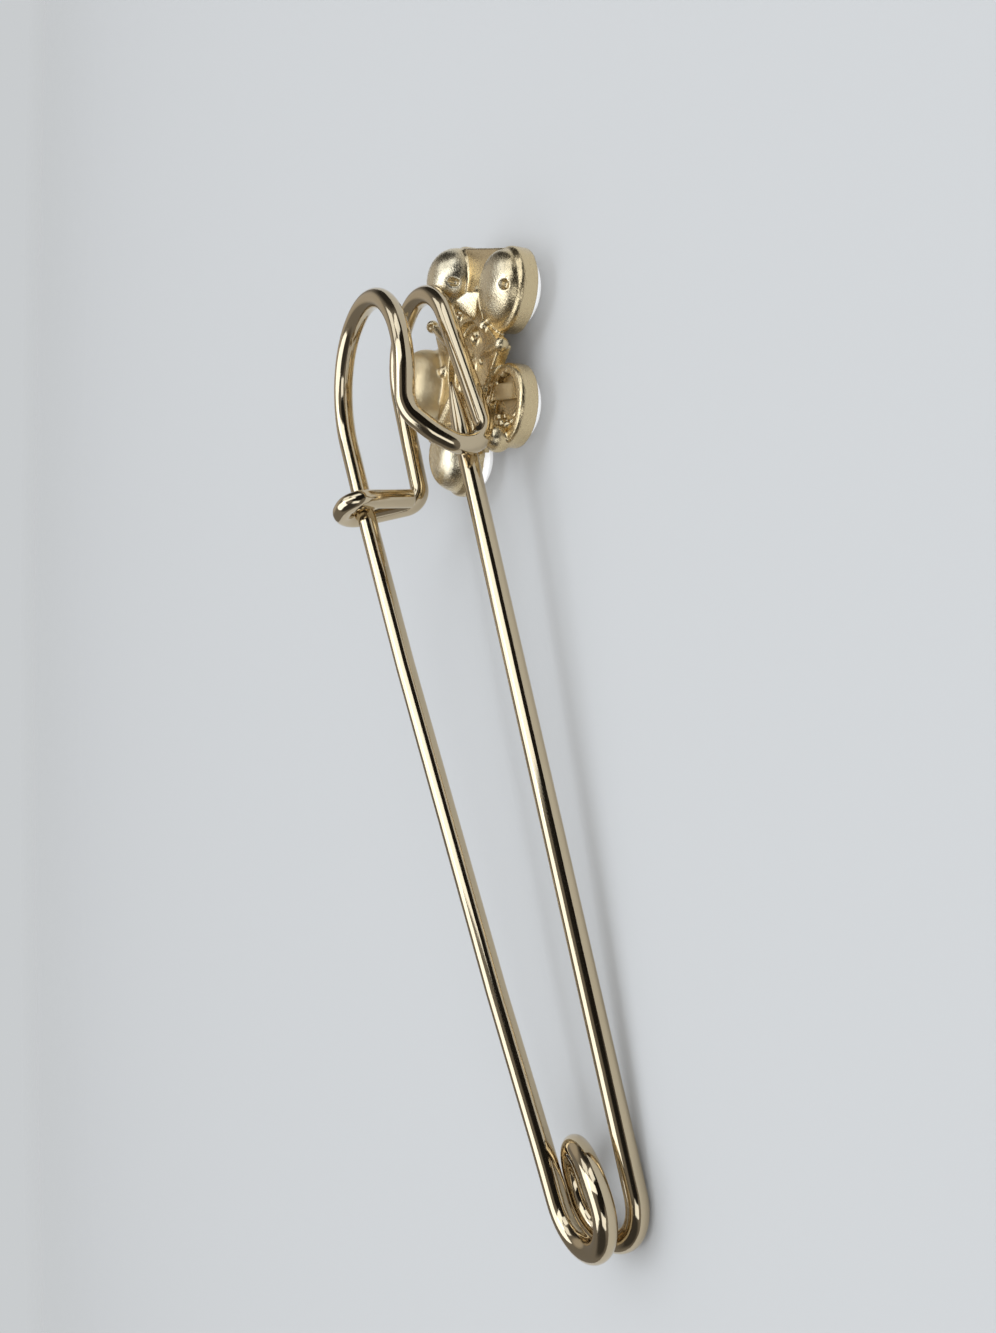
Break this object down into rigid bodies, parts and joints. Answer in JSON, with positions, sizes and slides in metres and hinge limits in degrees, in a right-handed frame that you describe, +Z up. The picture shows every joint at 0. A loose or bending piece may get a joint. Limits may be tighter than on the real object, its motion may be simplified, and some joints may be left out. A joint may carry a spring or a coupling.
{
  "type": "safety pin brooch",
  "caption": "Safety pin brooch of pale gold wire: coiled spring, sprung stem, arched catch with a guard bar, and a cast flower set with pearl-white stones.",
  "frame": {"origin": "bottom centre of the brooch as it lies on its front, on two pearls and the coil", "axes": "+X along the pin from the flower to the coil, +Y from the fixed arm towards the stem, +Z up, away from the flower's front"},
  "size_m": [0.0674, 0.0212, 0.0107],
  "materials": {
    "gold": "polished and satin, pale gold",
    "gold_wire": "polished, drawn",
    "pearl": "glossy white with a pearl lustre"
  },
  "bodies": {
    "frame": {"brooch_frame": "gold", "pearl_1": "pearl", "pearl_2": "pearl", "pearl_3": "pearl", "pearl_4": "pearl", "pearl_5": "pearl"},
    "stem": {"pin_stem": "gold_wire"}
  },
  "joints": [
    {"name": "stem_spring", "type": "hinge", "parent": "frame", "child": "stem", "pos_m": [0.03025, -0.00566, 0.00305], "axis": [0.111, -0.0016, 0.9938], "range_deg": [0, 4], "stiffness_Nm_per_rad": 0.3, "springref_deg": -11.46}
  ]
}
